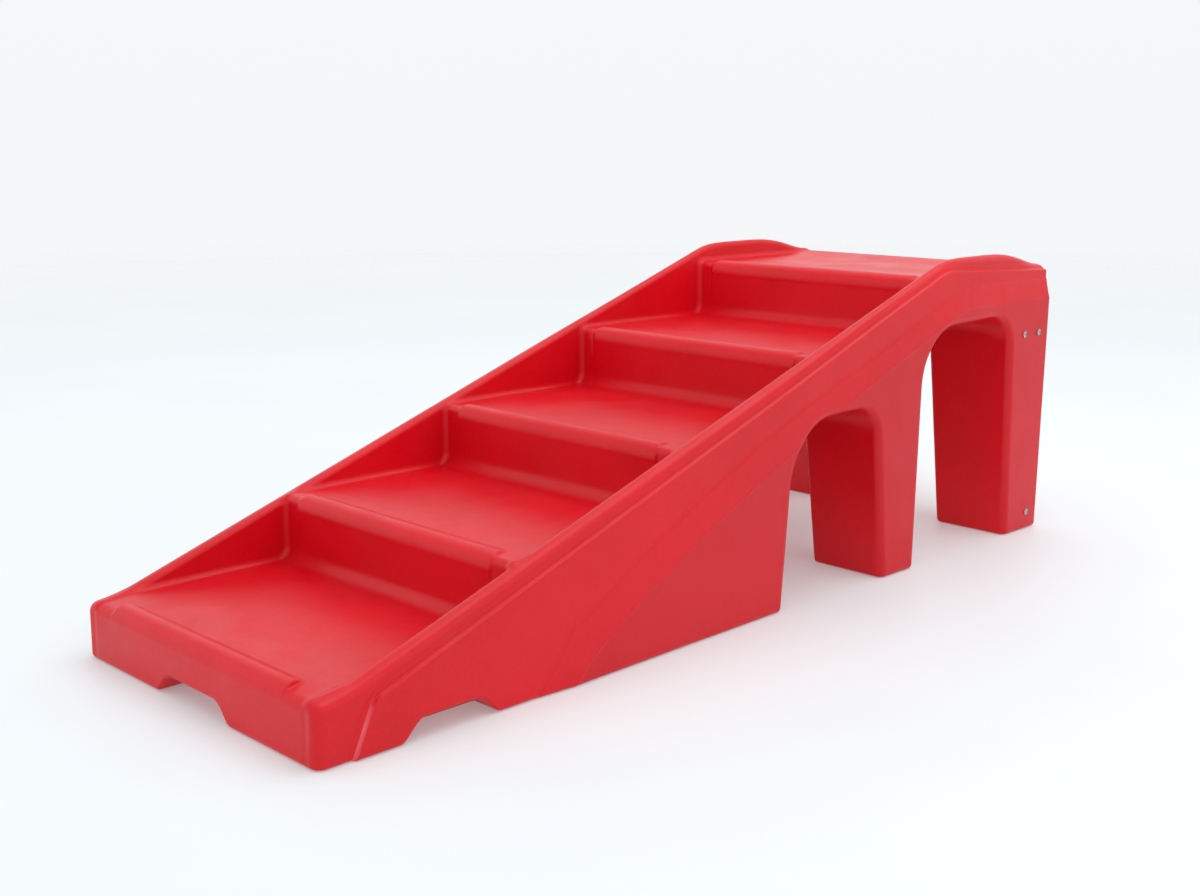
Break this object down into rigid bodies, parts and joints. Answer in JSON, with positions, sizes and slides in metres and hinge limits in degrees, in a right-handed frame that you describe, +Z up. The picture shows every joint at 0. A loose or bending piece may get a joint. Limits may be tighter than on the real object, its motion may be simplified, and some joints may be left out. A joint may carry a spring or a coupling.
{
  "type": "dog ramp",
  "caption": "Stepped dog ramp in hollow moulded plastic: treads with raised nosings and a level deck between side rails, on arched legs.",
  "frame": {"origin": "on the floor, halfway along and halfway across the ramp", "axes": "+Z up, +Y from the low front edge to the high rear edge, +X to the right side when looking along +Y"},
  "size_m": [0.607, 1.67, 0.535],
  "materials": {
    "shell": "satin red polyethylene with a faint moulded texture",
    "steel": "bright stainless steel",
    "brass": "plain machined brass",
    "plug": "matt black plastic"
  },
  "bodies": {
    "root": {"ramp_shell": "shell", "screw_right_upper_front": "steel", "screw_right_upper_rear": "steel", "screw_right_foot": "steel", "screw_left_upper_front": "steel", "screw_left_upper_rear": "steel", "screw_left_foot": "steel", "insert_right_upper_front": "brass", "insert_right_upper_rear": "brass", "insert_right_foot": "brass", "insert_left_upper_front": "brass", "insert_left_upper_rear": "brass", "insert_left_foot": "brass", "vent_plug": "plug"}
  },
  "joints": []
}
